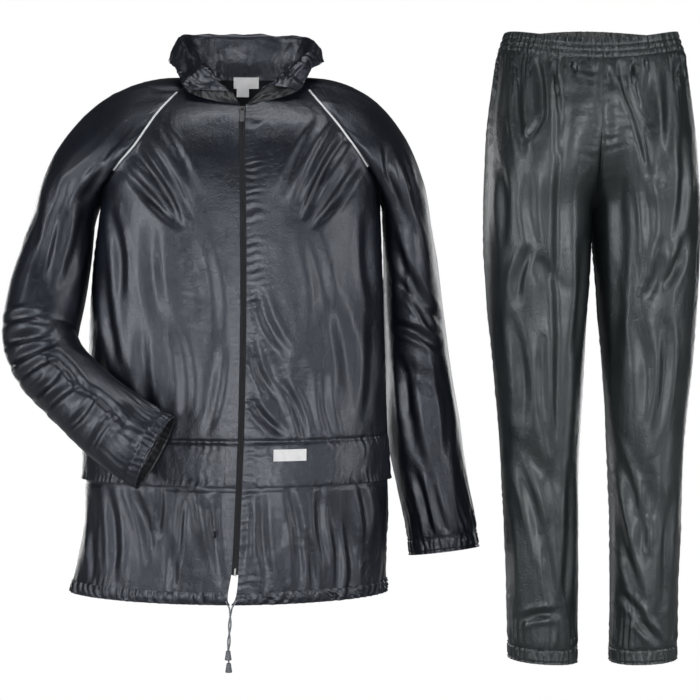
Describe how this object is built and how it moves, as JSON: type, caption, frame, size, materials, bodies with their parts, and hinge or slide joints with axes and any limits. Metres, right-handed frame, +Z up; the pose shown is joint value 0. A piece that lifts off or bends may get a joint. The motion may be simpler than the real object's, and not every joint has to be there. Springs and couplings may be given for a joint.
{
  "type": "rain suit",
  "caption": "Rain suit shown filled out: zipped raglan jacket with turned-down collar, wide pocket flaps and drawstring hem, beside elastic-waist trousers",
  "frame": {"origin": "the middle of the jacket's neck ring, where the wearer's neck holds it", "axes": "+Z up, the front faces -Y, +X runs from the jacket to the trousers beside it"},
  "size_m": [1.1059, 0.3467, 1.0245],
  "materials": {
    "jacket_cloth": "glossy coated nylon, navy black",
    "trouser_cloth": "glossy coated nylon, greenish grey",
    "reflective_white": "reflective piping",
    "label_white": "matt woven label, blank",
    "tape_black": "matt woven tape",
    "zip_black": "satin",
    "cord_grey": "braided cord",
    "cord_end_grey": "satin"
  },
  "bodies": {
    "suit": {"jacket_front_right": "jacket_cloth", "jacket_front_left": "jacket_cloth", "jacket_back": "jacket_cloth", "sleeve_right": "jacket_cloth", "sleeve_left": "jacket_cloth", "cuff_right": "jacket_cloth", "cuff_left": "jacket_cloth", "collar": "jacket_cloth", "pocket_flap_right": "jacket_cloth", "pocket_flap_left": "jacket_cloth", "hem_tunnel": "jacket_cloth", "leg_front_right": "trouser_cloth", "leg_front_left": "trouser_cloth", "leg_back_right": "trouser_cloth", "leg_back_left": "trouser_cloth", "waistband": "trouser_cloth", "leg_hem_right": "trouser_cloth", "leg_hem_left": "trouser_cloth", "piping_right": "reflective_white", "piping_left": "reflective_white", "neck_label": "label_white", "care_label": "label_white", "flap_label": "label_white", "zip_tape_right": "tape_black", "zip_tape_left": "tape_black", "zip_chain": "zip_black", "zip_slider": "zip_black", "cord_right": "cord_grey", "cord_left": "cord_grey", "cord_end_right": "cord_end_grey", "cord_end_left": "cord_end_grey"},
    "pull_tab": {"pull_tab": "zip_black"}
  },
  "joints": [
    {"name": "pull_tab_hinge", "type": "hinge", "parent": "suit", "child": "pull_tab", "pos_m": [0.004, -0.08316, -0.03955], "axis": [-1, 0, 0], "range_deg": [0, 150]}
  ]
}
